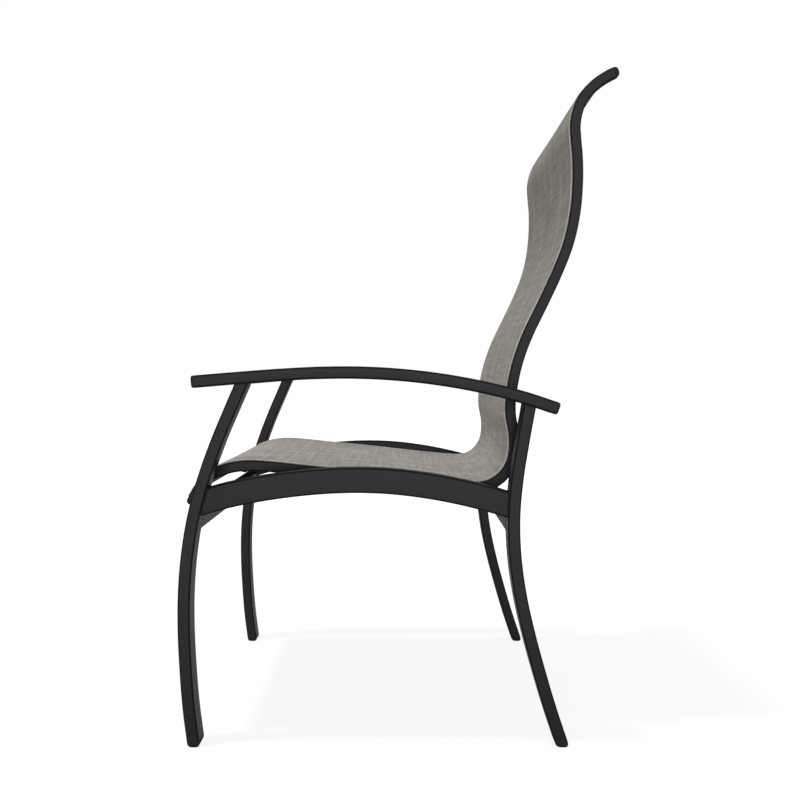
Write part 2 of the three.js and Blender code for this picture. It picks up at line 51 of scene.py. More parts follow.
# Members
leg_width, leg_thickness, leg_corner = 40, 21, 3.4
arm_width, arm_thickness, arm_corner = 50, 21, 4.2
panel_height, panel_thickness, panel_corner = 43, 25, 4
panel_setback = 7
stretcher_height, stretcher_thickness, stretcher_corner = 38, 20, 3
front_stretcher_share, rear_stretcher_share = 0.7982, 0.7882
rail_width, rail_depth, rail_corner = 17, 18.3, 3
rail_gap = 12
slot_inset = 6
slot_width, slot_depth = 2.6, 4
bar_diameter, bar_bow = 12, 28
seat_bar_share, back_bar_share = 0.2044, 0.7724
seat_bolt_share, back_bolt_share = 0.2548, 0.4669
bolt_setback = 12.8
stretcher_tongue, bar_tongue = 6, 2
clearance = 0.3

# How far a tube is searched for the member that it meets: back from its end, and past it
leg_search, panel_search, past_end = 60, 90, 30

# Rings and points of swept and turned forms
stretcher_rings, bar_rings, bar_sides, turned_sides, bead_sides = 9, 41, 20, 28, 8

# Swell of the bent tubes' flat faces, in degrees
arm_crown, panel_crown = 14, 6

# Weld beads
bead_radius, bead_step = 0.7, 1.1
ripple_share, ripple_length = 0.12, 3.3

# Feet and end caps, which plug into their tubes
glide_height, glide_contact, glide_rounding = 9, 9, 2.6
glide_plug, arm_plug, rail_plug = 2, 1.5, 2
plug_inset, rail_plug_inset = 0.5, 0.6
arm_cap_height, arm_cap_edge, arm_cap_inset = 5, 3.6, 0.15
rail_cap_height, rail_cap_crown_share, rail_cap_rounding = 8.4, 0.35, 2.2
arm_neck, rail_neck = 0.25, 0.1
cap_levels, arm_cap_levels = 12, 8

# Sling
sling_under, sling_top = 0.3, 2
sling_roll = 1.4
sling_sag = 1.5
rod_diameter = 5
rod_depth = 5.9
hem_thickness, hem_depth = 2.0, 3.4
hem_heights = (-1.2, 0.2)
fold_width, under_margin = 2.5, 1
lip_length, lip_ramp_share, lip_top = 130, 0.4, 1.0

# Bolts, washers, spacers and inserts
hole_radius, ring_radius = 2.8, 5
washer_thickness, washer_bevel = 1.2, 0.2
bolt_radius, bolt_reach = 2.5, 12
bolt_head = [(1.2, 0), (1.2, 1.7), (3, 1.7), (3, 3.3), (2.7, 4.0), (1.6, 4.5), (0, 4.5)]
insert_radius, insert_reach, flange_thickness = 4, 10, 1

# Planes across the chair
leg_plane = (frame_width - leg_width) / 2
leg_inner_face = frame_width / 2 - leg_width
panel_plane = frame_width / 2 - panel_setback - panel_thickness / 2
panel_inner_face = panel_plane - panel_thickness / 2
rail_outer_face = leg_inner_face - rail_gap
rail_inner_face = rail_outer_face - rail_width
rail_plane = rail_outer_face - rail_width / 2
slot_plane = rail_outer_face - slot_inset

# Middle lines in the side view, as shares of the depth and of a height
front_leg_shares = [
    (-0.4638, 0), (-0.4749, 0.1), (-0.4818, 0.2), (-0.4859, 0.3), (-0.4857, 0.4), (-0.4793, 0.5),
    (-0.4657, 0.6), (-0.4434, 0.7), (-0.4134, 0.8), (-0.3778, 0.9), (-0.3523, 0.969),
]
rear_leg_shares = [
    (0.3582, 0), (0.3299, 0.1), (0.3047, 0.2), (0.2819, 0.3), (0.2634, 0.4), (0.252, 0.5),
    (0.2494, 0.6), (0.2564, 0.7), (0.2699, 0.8), (0.287, 0.911),
]
arm_shares = [
    (-0.4623, 0.959), (-0.4274, 0.9625), (-0.361, 0.9689), (-0.2682, 0.977), (-0.1757, 0.9822),
    (-0.0832, 0.9821), (0.0091, 0.9753), (0.1012, 0.9617), (0.1932, 0.9409), (0.2722, 0.9168),
    (0.3422, 0.8897),
]
panel_shares = [
    (-0.4618, 0.8534), (-0.3887, 0.8857), (-0.3089, 0.9102), (-0.2158, 0.9291), (-0.1228, 0.9379),
    (-0.0297, 0.9341), (0.0634, 0.9164), (0.1432, 0.8917), (0.2097, 0.8646), (0.2629, 0.8383),
]
rail_seat_shares = [
    (-0.494, 0.8626), (-0.492, 0.8685), (-0.4866, 0.8845), (-0.4761, 0.911), (-0.4643, 0.936),
    (-0.4498, 0.957), (-0.4331, 0.9736), (-0.4113, 0.9857), (-0.3866, 0.9948), (-0.3515, 0.9994),
    (-0.3038, 0.9954), (-0.2211, 0.9815), (-0.1095, 0.9642), (0.0373, 0.9383), (0.11, 0.9267),
    (0.1478, 0.9218), (0.1743, 0.9206), (0.194, 0.9257), (0.2103, 0.9386), (0.2237, 0.9558),
    (0.2343, 0.9779),
]
rail_back_shares = [
    (0.2415, 0.0023), (0.2456, 0.0263), (0.2464, 0.0517), (0.2439, 0.0773), (0.2393, 0.1042),
    (0.2373, 0.1351), (0.2408, 0.1791), (0.2492, 0.2297), (0.2627, 0.2805), (0.281, 0.3313),
    (0.3146, 0.4075), (0.3467, 0.4836), (0.3727, 0.5595), (0.3873, 0.636), (0.3927, 0.7122),
    (0.3922, 0.771), (0.3886, 0.8179), (0.3872, 0.8531), (0.3922, 0.8882), (0.4051, 0.9252),
    (0.4232, 0.9508), (0.4444, 0.9724), (0.4663, 0.9885), (0.4822, 0.998), (0.4838, 0.9988),
]

SIDES = (("left", 1), ("right", -1))


# Curves
def run_along(points):
    """The length of a chain of points up to each of them."""
    return np.concatenate([[0], np.cumsum(np.linalg.norm(np.diff(points, axis=0), axis=1))])


def through_knots(knots, per_span):
    """A centripetal spline through the knots, with per_span points in each span."""
    knots = np.array(knots, float)
    padded = np.vstack([2 * knots[0] - knots[1], knots, 2 * knots[-1] - knots[-2]])
    t = np.linspace(0, 1, per_span, endpoint=False)[:, None]
    out = []
    for a, b, c, d in zip(padded, padded[1:], padded[2:], padded[3:]):
        da, db, dc = (np.linalg.norm(q - p) ** 0.5 for p, q in ((a, b), (b, c), (c, d)))
        start = ((b - a) / da - (c - a) / (da + db) + (c - b) / db) * db
        end = ((c - b) / db - (d - b) / (db + dc) + (d - c) / dc) * db
        out.append(b + start * t + (3 * (c - b) - 2 * start - end) * t**2
                   + (2 * (b - c) + start + end) * t**3)
    return np.vstack(out + [knots[-1:]])


class SideLine:
    """A smooth line in the side view, found by its arc length in millimetres."""

    per_span = 24
    spacing = 2.0
    evenness = 5.0

    def __init__(self, knots):
        dense = through_knots(knots, self.per_span)
        run = run_along(dense)
        count = int(round(run[-1] / self.spacing))
        s = np.linspace(0, run[-1], count + 1)
        points = np.stack([np.interp(s, run, dense[:, i]) for i in (0, 1)], 1)
        width = self.evenness / self.spacing
        once = self.evened(points, width)
        # What the evening takes off the bends is put back, as a second evening shows it
        self.points = 2 * once - self.evened(once, width)
        self.s = s
        self.length = run[-1]
        self.knot_s = run[::self.per_span]
        along = np.gradient(self.points, s, axis=0)
        self.along = along / np.linalg.norm(along, axis=1)[:, None]
        self.normal = np.stack([-self.along[:, 1], self.along[:, 0]], 1)

    @staticmethod
    def evened(points, width):
        """Points averaged with their neighbours under a bell of that width, in steps between points."""
        reach = int(3 * width) + 1
        weights = np.exp(-0.5 * (np.arange(-reach, reach + 1) / width) ** 2)
        weights /= weights.sum()
        before = 2 * points[0] - points[reach:0:-1]
        after = 2 * points[-1] - points[-2:-reach - 2:-1]
        longer = np.vstack([before, points, after])
        return np.stack([np.convolve(longer[:, i], weights, "valid") for i in (0, 1)], 1)

    def share(self, share):
        """The arc length at a share of the knots, counted from the first."""
        spans = len(self.knot_s) - 1
        return float(np.interp(share * spans, np.arange(spans + 1), self.knot_s))

    def read(self, values, s):
        """Values of the line at arc lengths, which may be an array of any shape."""
        return np.stack([np.interp(s, self.s, values[:, i]) for i in (0, 1)], -1)

    def at(self, s):
        """Points, directions and normals at arc lengths. The line runs straight on past its ends."""
        s = np.asarray(s, float)
        inside = np.clip(s, 0, self.length)
        point, along, normal = (self.read(v, inside) for v in (self.points, self.along, self.normal))
        return point + along * (s - inside)[..., None], along, normal

    def offset(self, s, distance):
        point, _, normal = self.at(s)
        return point + normal * np.asarray(distance, float)[..., None]

    def at_height(self, height):
        return float(np.interp(height, self.points[:, 1], self.s))


def side_line(shares, height):
    return SideLine([(y * overall_depth, z * height) for y, z in shares])


front_leg = side_line(front_leg_shares, arm_height)
rear_leg = side_line(rear_leg_shares, arm_height)
arm = side_line(arm_shares, arm_height)
panel = side_line(panel_shares, seat_height)
rail = SideLine([(y * overall_depth, z * seat_height) for y, z in rail_seat_shares]
                + [(y * overall_depth, seat_height + z * (overall_height - seat_height))
                   for y, z in rail_back_shares])


def crossing(line, distance, low, high, side_of):
    """The arc length between low and high at which an offset of the line crosses a surface."""
    steps = 400
    s = np.linspace(low, high, steps)
    value = side_of(line.offset(s, np.full(steps, distance)))
    i = np.nonzero(np.diff(np.sign(value)))[0][0]
    return s[i] - value[i] * (s[i + 1] - s[i]) / (value[i + 1] - value[i])


def beside(line, distance):
    """Signed place of side-view points against a steep line moved by a distance along its normal."""
    edge = line.offset(line.s, np.full(len(line.s), distance))
    return lambda p: p[:, 0] - np.interp(p[:, 1], edge[:, 1], edge[:, 0])


def above(line, distance):
    """Signed height of side-view points over a flat line moved by a distance along its normal."""
    edge = line.offset(line.s, np.full(len(line.s), distance))
    return lambda p: p[:, 1] - np.interp(p[:, 0], edge[:, 0], edge[:, 1])


# Sections: points and outward normals, counter-clockwise, X across and then the line's normal
def rounded_section(width, height, corner, steps=5, crown=0.0):
    """A rounded rectangle. A crown turns the normals at the ends of its flat faces out by that many
    degrees, as faces of bent tube swell a little."""
    points, normals = [], []
    crown = math.radians(crown)
    for quarter, (sx, sy) in enumerate(((1, 1), (-1, 1), (-1, -1), (1, -1))):
        middle = np.array([sx * (width / 2 - corner), sy * (height / 2 - corner)])
        for i in range(steps + 1):
            angle = (quarter + i / steps) * math.pi / 2
            turned_in = crown + (math.pi / 2 - 2 * crown) * i / steps + quarter * math.pi / 2
            points.append(middle + corner * np.array([math.cos(angle), math.sin(angle)]))
            normals.append((math.cos(turned_in), math.sin(turned_in)))
    return np.array(points), np.array(normals)


def turns(count):
    """Angles that divide a full turn evenly."""
    return np.arange(count) * 2 * math.pi / count


def round_section(diameter, count, middle):
    angle = turns(count)
    normals = np.stack([np.cos(angle), np.sin(angle)], 1)
    return np.array(middle) + normals * diameter / 2, normals


# Meshes
def make_mesh(name, vertices, faces, material, replaced=(), normals=None, uv=None, sharp=None,
              edge=None):
    """A piece of the chair from vertices in millimetres. Its normals are given or come from the faces, with
    sharp edges over that many degrees; edge is how far each vertex lies round a corner or fold."""
    mesh = bpy.data.meshes.new(name)
    mesh.from_pydata((np.asarray(vertices) * MM).tolist(), [], faces)
    mesh.materials.append(material)
    for polygon in mesh.polygons:
        polygon.use_smooth = True
    if uv is not None:
        layer = mesh.uv_layers.new(name="weave")
        for loop in mesh.loops:
            layer.data[loop.index].uv = uv[loop.vertex_index]
    if edge is not None:
        attribute = mesh.attributes.new("edge", "FLOAT", "POINT")
        attribute.data.foreach_set("value", np.asarray(edge, np.float32))
    mesh.update()
    if normals is not None:
        mesh.normals_split_custom_set_from_vertices(np.asarray(normals).tolist())
    elif sharp is not None:
        mesh.set_sharp_from_angle(angle=math.radians(sharp))
    piece = bpy.data.objects.new(name, mesh)
    bpy.context.scene.collection.objects.link(piece)
    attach(piece, "root")
    if replaced:
        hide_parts(*replaced)
    return piece


def edge_of(normals):
    """How far each normal of a section turns away from its flat sides: 0 on them and 1 in mid corner."""
    turned_off = np.abs(2 * normals[:, 0] * normals[:, 1])
    least = turned_off.min()
    return ((turned_off - least) / (turned_off.max() - least + 1e-9)) ** 0.4


def skin_faces(rings, points, flip=False):
    """Quads between rings that follow each other, all of them closed."""
    faces = []
    for i in range(rings - 1):
        for j in range(points):
            k = (j + 1) % points
            face = (i * points + j, (i + 1) * points + j, (i + 1) * points + k, i * points + k)
            faces.append(face[::-1] if flip else face)
    return faces


def swept(line, section, x, start, end, spacing=4.0):
    """Rings of a section along a line. start and end may differ from point to point of the section."""
    points, normals = section
    count = max(2, int(np.max(np.asarray(end) - np.asarray(start)) / spacing)) + 1
    share = np.linspace(0, 1, count)[:, None]
    s = np.broadcast_to(start, len(points)) * (1 - share) + np.broadcast_to(end, len(points)) * share
    place, _, normal = line.at(s)
    side = place + normal * points[:, 1][None, :, None]
    vertices = np.concatenate([np.broadcast_to(x + points[:, 0], s.shape)[..., None], side], -1)
    tilted = normal * normals[:, 1][None, :, None]
    outward = np.concatenate([np.broadcast_to(normals[:, 0], s.shape)[..., None], tilted], -1)
    return vertices, outward, s


def sweep(name, line, section, x, start, end, material, slot, replaced, spacing=4.0):
    """A piece made of a section that runs along a line."""
    vertices, outward, _ = swept(line, section, x, start, end, spacing)
    rings, points = vertices.shape[:2]
    return make_mesh(name, vertices.reshape(-1, 3), skin_faces(rings, points), material, replaced,
                     normals=outward.reshape(-1, 3), edge=np.tile(edge_of(section[1]), rings))


def merged(parts):
    """Several (vertices, faces) pairs as one."""
    vertices, faces, offset = [], [], 0
    for v, f in parts:
        vertices.append(np.asarray(v, float))
        faces += [tuple(offset + i for i in face) for face in f]
        offset += len(v)
    return np.vstack(vertices), faces


def bead_along(loop, radius):
    """A round bead along a closed loop of points, with a radius for each point."""
    n = len(loop)
    along = np.roll(loop, -1, 0) - np.roll(loop, 1, 0)
    along /= np.linalg.norm(along, axis=1)[:, None]
    out = loop - loop.mean(0)
    out -= along * np.sum(out * along, 1)[:, None]
    out /= np.linalg.norm(out, axis=1)[:, None] + 1e-9
    other = np.cross(along, out)
    angle = turns(bead_sides)
    ring = out[:, None, :] * np.cos(angle)[None, :, None] + other[:, None, :] * np.sin(angle)[None, :, None]
    vertices = (loop[:, None, :] + radius[:, None, None] * ring).reshape(-1, 3)
    faces = skin_faces(n, bead_sides, flip=True)
    last = (n - 1) * bead_sides
    for j in range(bead_sides):
        k = (j + 1) % bead_sides
        faces.append((last + k, k, j, last + j))
    return vertices, faces


def lofted(levels, steps=5):
    """A form about x = 0 through rounded rectangles, each given as its middle (y, z), the direction of its
    depth, depth, width and corner. The first level is left open and the last one is closed."""
    least, spare = 0.05, 0.01
    rings = []
    for (my, mz), (dy, dz), depth, width, corner in levels:
        corner = max(least, min(corner, depth / 2 - spare, width / 2 - spare))
        points, _ = rounded_section(width, depth, corner, steps)
        rings.append(np.stack([points[:, 0], my + points[:, 1] * dy, mz + points[:, 1] * dz], 1))
    count = len(rings[0])
    faces = skin_faces(len(rings), count, flip=True)
    last = (len(rings) - 1) * count
    faces.append(tuple(last + j for j in range(count)))
    return np.vstack(rings), faces


def outwards(vertices, faces):
    """The faces, turned round where they enclose a negative volume. An open end barely counts."""
    v = np.asarray(vertices)
    middle = v.mean(0)
    volume = 0.0
    for face in faces:
        a = v[face[0]] - middle
        for i in range(1, len(face) - 1):
            volume += np.dot(a, np.cross(v[face[i]] - middle, v[face[i + 1]] - middle))
    return faces if volume > 0 else [face[::-1] for face in faces]


def turned(profile, y, z, sign):
    """A round form about X from (x, radius) pairs, on the side that sign names."""
    angle = turns(turned_sides)
    rings = [np.stack([np.full(len(angle), sign * x), y + r * np.cos(angle), z + r * np.sin(angle)], 1)
             for x, r in profile]
    return np.vstack(rings), skin_faces(len(rings), len(angle))


# Materials
def new_material(name):
    material = bpy.data.materials.new(name)
    material.use_nodes = True
    nodes = material.node_tree.nodes
    return material, nodes, material.node_tree.links, nodes["Principled BSDF"]


def math_node(nodes, links, operation, *inputs):
    node = nodes.new("ShaderNodeMath")
    node.operation = operation
    for i, value in enumerate(inputs):
        if isinstance(value, (int, float)):
            node.inputs[i].default_value = value
        else:
            links.new(value, node.inputs[i])
    return node.outputs[0]


def object_place(nodes):
    return nodes.new("ShaderNodeTexCoord").outputs["Object"]


def axes_of(nodes, links, vector):
    """The X, Y and Z of a vector."""
    node = nodes.new("ShaderNodeSeparateXYZ")
    links.new(vector, node.inputs[0])
    return node.outputs


def attribute_node(nodes, name):
    node = nodes.new("ShaderNodeAttribute")
    node.attribute_name = name
    return node.outputs["Fac"]


def noise_node(nodes, links, vector, scale, detail):
    node = nodes.new("ShaderNodeTexNoise")
    node.inputs["Scale"].default_value = scale
    node.inputs["Detail"].default_value = detail
    links.new(vector, node.inputs["Vector"])
    return node.outputs["Fac"]


def ramp_node(nodes, links, factor, stops):
    node = nodes.new("ShaderNodeValToRGB")
    ramp = node.color_ramp
    while len(ramp.elements) < len(stops):
        ramp.elements.new(0.5)
    for element, (place, colour) in zip(ramp.elements, stops):
        element.position = place
        element.color = (*colour, 1)
    links.new(factor, node.inputs["Fac"])
    return node.outputs["Color"]


def range_node(nodes, links, value, low, high, start=0.0, end=1.0):
    """The value's way from start to end, as a way from low to high that stops at both."""
    node = nodes.new("ShaderNodeMapRange")
    node.inputs["From Min"].default_value = start
    node.inputs["From Max"].default_value = end
    node.inputs["To Min"].default_value = low
    node.inputs["To Max"].default_value = high
    links.new(value, node.inputs["Value"])
    return node.outputs["Result"]


def bump_node(nodes, links, height, distance):
    node = nodes.new("ShaderNodeBump")
    node.inputs["Distance"].default_value = distance
    links.new(height, node.inputs["Height"])
    return node.outputs["Normal"]


# The coat drifts between two tones and round its roughness, by blotches to the metre. On the rounded edges
# its colour is a painted shade, a share of its darker tone, and it gets rougher.
TONE_DRIFT_SCALE, GLOSS_DRIFT_SCALE, GLOSS_DRIFT = 9, 60, 0.05
PAINTED_EDGE_SHADE, EDGE_BLUR = 0.05, 0.9


def coated_material(name, dark, light, rough, grain_scale, grain_depth):
    """Powder coat or moulded plastic: a fine even grain, a slow drift of tone and a painted shade on the
    rounded edges.
    """
    material, nodes, links, shader = new_material(name)
    place = object_place(nodes)
    drift = noise_node(nodes, links, place, TONE_DRIFT_SCALE, 3)
    colour = ramp_node(nodes, links, drift, [(0.3, dark), (0.7, light)])
    edge = attribute_node(nodes, "edge")
    # Painted shade: the rounded edges fall to a share of the darker tone
    shade = nodes.new("ShaderNodeMix")
    shade.data_type = "RGBA"
    links.new(edge, shade.inputs["Factor"])
    links.new(colour, shade.inputs["A"])
    shade.inputs["B"].default_value = (*(PAINTED_EDGE_SHADE * value for value in dark), 1)
    links.new(shade.outputs["Result"], shader.inputs["Base Color"])
    drift = range_node(nodes, links, noise_node(nodes, links, place, GLOSS_DRIFT_SCALE, 2),
                       rough - GLOSS_DRIFT, rough + GLOSS_DRIFT)
    blurred = math_node(nodes, links, "MULTIPLY", edge, EDGE_BLUR)
    links.new(math_node(nodes, links, "MAXIMUM", drift, blurred), shader.inputs["Roughness"])
    grain = noise_node(nodes, links, place, grain_scale, 1)
    links.new(bump_node(nodes, links, grain, grain_depth), shader.inputs["Normal"])
    return material


coat = coated_material("black_coat", dark=(0.009, 0.009, 0.0148), light=(0.0115, 0.0115, 0.0182),
                       rough=0.36, grain_scale=900, grain_depth=0.00004)
plastic = coated_material("black_plastic", dark=(0.007, 0.007, 0.007), light=(0.009, 0.009, 0.009),
                          rough=0.55, grain_scale=1500, grain_depth=0.00002)
rod_plastic = coated_material("rod_plastic", dark=(0.42, 0.42, 0.4), light=(0.48, 0.48, 0.46),
                              rough=0.45, grain_scale=1200, grain_depth=0.00001)


# Blotches to the metre of the steel's tone and roughness, and its least and greatest roughness
STEEL_TONE_SCALE, STEEL_GLOSS_SCALE, STEEL_ROUGH = 120, 400, (0.28, 0.42)


def steel_material():
    material, nodes, links, shader = new_material("plain_steel")
    shader.inputs["Metallic"].default_value = 1.0
    place = object_place(nodes)
    colour = ramp_node(nodes, links, noise_node(nodes, links, place, STEEL_TONE_SCALE, 3),
                       [(0.3, (0.36, 0.37, 0.38)), (0.7, (0.48, 0.48, 0.49))])
    links.new(colour, shader.inputs["Base Color"])
    gloss = noise_node(nodes, links, place, STEEL_GLOSS_SCALE, 2)
    links.new(range_node(nodes, links, gloss, *STEEL_ROUGH), shader.inputs["Roughness"])
    return material


steel = steel_material()

# The weave, in metres: from one yarn to the next both ways, and from the gaps up to the crowns
YARN_PITCH, WEAVE_DEPTH = 0.0013, 0.00022
# How high a yarn stays where another passes over it, as a share of its crown
YARN_WAIST = 0.45
# Painted shade in the gaps and painted highlight on the crowns: tones by which the colour is multiplied
GAP_SHADE, CROWN_HIGHLIGHT = 0.55, 1.05
# The share of a yarn's tone that is its own. The rest is slubs along it.
WARP_TONE, WEFT_TONE = 0.3, 0.25
# Slubs: blotches to the metre across and along the sling, and seed
WARP_SLUBS, WEFT_SLUBS = (420, 14, 0.0), (26, 380, 7.0)
# Streaks over many yarns: blotches across and along, seed and share of each kind, then the share of the
# whole tone and the contrast of all kinds together
STREAK_KINDS = ((30, 6, 3.0, 0.36), (75, 12, 9.0, 0.24), (7, 130, 5.0, 0.4))
STREAKS, STREAK_CONTRAST = 0.5, 2.5
# How much lighter the fold along each rail is painted: a painted highlight where the fold catches the light
FOLD_HIGHLIGHT = 2.0
WEAVE_ROUGH, WEAVE_SHINE = 0.82, 0.1
# Added to the sum of two yarns' numbers to keep it above 0. It is even, so that odd sums stay odd.
MANY_YARNS = 10000.0


def woven_material(name, tones):
    """A plain weave of coated yarns. Each has its own tone and slubs, and streaks of yarns drift over. The
    gaps are painted in shade, and the crowns and the fold along each rail are painted lighter as
    highlights.
    """
    material, nodes, links, shader = new_material(name)
    uv = nodes.new("ShaderNodeUVMap")
    uv.uv_map = "weave"
    across, along, _ = axes_of(nodes, links, uv.outputs["UV"])

    def m(operation, *inputs):
        return math_node(nodes, links, operation, *inputs)

    def stretched(scale_across, scale_along, seed):
        """Noise with its own number of blotches to the metre each way."""
        node = nodes.new("ShaderNodeCombineXYZ")
        links.new(m("MULTIPLY", across, scale_across), node.inputs[0])
        links.new(m("MULTIPLY", along, scale_along), node.inputs[1])
        node.inputs[2].default_value = seed
        return noise_node(nodes, links, node.outputs[0], 1, 3)

    def yarn(coordinate):
        """A yarn's number, its round top and its own tone at a coordinate."""
        scaled = m("DIVIDE", coordinate, YARN_PITCH)
        number = m("FLOOR", scaled)
        centred = m("SUBTRACT", m("MULTIPLY", m("FRACT", scaled), 2.0), 1.0)
        round_top = m("SUBTRACT", 1.0, m("MULTIPLY", centred, centred))
        white = nodes.new("ShaderNodeTexWhiteNoise")
        white.noise_dimensions = "1D"
        links.new(number, white.inputs["W"])
        return number, round_top, white.outputs["Value"]

    def blend(first, second, share):
        """The first value, with the second in its place by a share."""
        return m("ADD", m("MULTIPLY", second, share), m("MULTIPLY", first, 1 - share))

    warp_number, warp_round, warp_tone = yarn(across)
    weft_number, weft_round, weft_tone = yarn(along)
    over = m("MODULO", m("ADD", m("ADD", warp_number, weft_number), MANY_YARNS), 2.0)
    over = m("GREATER_THAN", over, 0.5)
    under = m("SUBTRACT", 1.0, over)

    def on_top(warp, weft):
        """The warp's value where it passes over, and else the weft's."""
        return m("ADD", m("MULTIPLY", over, warp), m("MULTIPLY", under, weft))

    def crowned(top, crossed):
        return m("MULTIPLY", top, m("ADD", YARN_WAIST, m("MULTIPLY", crossed, 1 - YARN_WAIST)))

    height = on_top(crowned(warp_round, weft_round), crowned(weft_round, warp_round))
    value = on_top(blend(stretched(*WARP_SLUBS), warp_tone, WARP_TONE),
                   blend(stretched(*WEFT_SLUBS), weft_tone, WEFT_TONE))
    streaks = 0.0
    for scale_across, scale_along, seed, share in STREAK_KINDS:
        streaks = m("MULTIPLY_ADD", stretched(scale_across, scale_along, seed), share, streaks)
    streaks = m("MULTIPLY_ADD", m("SUBTRACT", streaks, 0.5), STREAK_CONTRAST, 0.5)
    colour = ramp_node(nodes, links, blend(value, streaks, STREAKS), list(zip((0.2, 0.5, 0.8), tones)))
    # Painted shade in the gaps between yarns and painted highlight on their crowns, by the weave's height
    lit = range_node(nodes, links, height, GAP_SHADE, CROWN_HIGHLIGHT)
    # Painted highlight: the fold along each rail is made lighter
    fold_highlight = attribute_node(nodes, "edge")
    lit = m("MULTIPLY", lit, m("ADD", m("MULTIPLY", fold_highlight, FOLD_HIGHLIGHT - 1.0), 1.0))
    shade = nodes.new("ShaderNodeMix")
    shade.data_type = "RGBA"
    shade.blend_type = "MULTIPLY"
    shade.inputs["Factor"].default_value = 1.0
    links.new(colour, shade.inputs["A"])
    links.new(lit, shade.inputs["B"])
    links.new(shade.outputs["Result"], shader.inputs["Base Color"])
    shader.inputs["Roughness"].default_value = WEAVE_ROUGH
    shader.inputs["Specular IOR Level"].default_value = WEAVE_SHINE
    links.new(bump_node(nodes, links, height, WEAVE_DEPTH), shader.inputs["Normal"])
    return material


woven = woven_material("woven_sling", [(0.198, 0.185, 0.162), (0.336, 0.316, 0.282), (0.48, 0.455, 0.416)])

coat_slot, plastic_slot, fabric_slot = "frame_coat", "black_plastic", "sling_fabric"
rod_slot, steel_slot = "rod_plastic", "plain_steel"


# Legs, arms and panels
beads = []


def weld(loop):
    """A bead of weld round a joint, with the small ripples that it is laid down in."""
    closed = np.vstack([loop, loop[:1]])
    run = run_along(closed)
    s = np.arange(0, run[-1], bead_step)
    fine = np.stack([np.interp(s, run, closed[:, i]) for i in range(3)], 1)
    ripple = ripple_share * np.sin(s * 2 * math.pi / ripple_length)
    beads.append(bead_along(fine, bead_radius * (1 + ripple)))


leg_section = rounded_section(leg_width, leg_thickness, leg_corner)
into_arm = above(arm, 0)
arm_underside = above(arm, -arm_thickness / 2)
for side, sign in SIDES:
    for place, line in (("front", front_leg), ("rear", rear_leg)):
        foot = line.at_height(glide_height)
        distances = leg_section[0][:, 1]
        low, high = line.length - leg_search, line.length + past_end
        top = np.array([crossing(line, d, low, high, into_arm) for d in distances])
        sweep(f"{place}_leg_tube_{side}", line, leg_section, sign * leg_plane, foot, top, coat, coat_slot,
              [f"{place}_leg_{side}"])
        touch = np.array([crossing(line, d, low, high, arm_underside) for d in distances])
        weld(np.column_stack([sign * leg_plane + leg_section[0][:, 0], line.offset(touch, distances)]))

arm_section = rounded_section(arm_width, arm_thickness, arm_corner, 7, crown=arm_crown)
panel_section = rounded_section(panel_thickness, panel_height, panel_corner, crown=panel_crown)
for side, sign in SIDES:
    sweep(f"arm_tube_{side}", arm, arm_section, sign * leg_plane, 0, arm.length, coat, coat_slot,
          [f"arm_{side}"])
    distances = panel_section[0][:, 1]
    ends = []
    for leg, low, high, toward in (
            (front_leg, -past_end, panel_search, -1),
            (rear_leg, panel.length - panel_search, panel.length + past_end, 1)):
        ends.append(np.array([crossing(panel, d, low, high, beside(leg, 0)) for d in distances]))
        face = beside(leg, toward * leg_thickness / 2)
        touch = np.array([crossing(panel, d, low, high, face) for d in distances])
        weld(np.column_stack([sign * panel_plane + panel_section[0][:, 0], panel.offset(touch, distances)]))
    sweep(f"side_panel_tube_{side}", panel, panel_section, sign * panel_plane, *ends, coat, coat_slot,
          [f"side_panel_{side}"])


# Cross tubes
def stretcher(name, leg, share):
    """A cross tube between the two legs of that kind, at a share of the seat's height."""
    place, along, normal = leg.at(leg.at_height(share * seat_height))
    points, normals = rounded_section(stretcher_thickness, stretcher_height, stretcher_corner)
    loop = place + points[:, :1] * normal + points[:, 1:] * along
    outward = normals[:, :1] * normal + normals[:, 1:] * along
    reach = leg_inner_face + stretcher_tongue
    xs = np.linspace(-reach, reach, stretcher_rings)
    vertices = np.concatenate([np.column_stack([np.full(len(loop), x), loop]) for x in xs])
    directions = np.concatenate([np.column_stack([np.zeros(len(loop)), outward]) for _ in xs])
    faces = outwards(vertices, skin_faces(len(xs), len(loop)))
    make_mesh(f"{name}_tube", vertices, faces, coat, [name], normals=directions,
              edge=np.tile(edge_of(normals), len(xs)))
    for sign in (1, -1):
        weld(np.column_stack([np.full(len(loop), sign * leg_inner_face), loop]))


stretcher("front_stretcher", front_leg, front_stretcher_share)
stretcher("rear_stretcher", rear_leg, rear_stretcher_share)

vertices, faces = merged(beads)
make_mesh("weld_beads", vertices, faces, coat)


# Feet and end caps
def quadratic(a, b, c, t):
    """A point on the curve that leaves a towards b and comes to c."""
    return (1 - t) ** 2 * np.array(a) + 2 * t * (1 - t) * np.array(b) + t**2 * np.array(c)


def rounded_in(t, rounding):
    """How far a form has drawn in at the share t of its height, for a quarter round of that size."""
    return rounding * (1 - math.sqrt(max(0.0, 1 - t * t)))


def between(front, back, width, corner):
    """A level of a loft that spans from its front edge to its back edge in the side view."""
    thinnest = 0.12
    front, back = np.array(front, float), np.array(back, float)
    depth = np.linalg.norm(front - back)
    direction = (front - back) / depth if depth > 1e-6 else np.array([1.0, 0.0])
    return (front + back) / 2, direction, max(depth, thinnest), width, corner


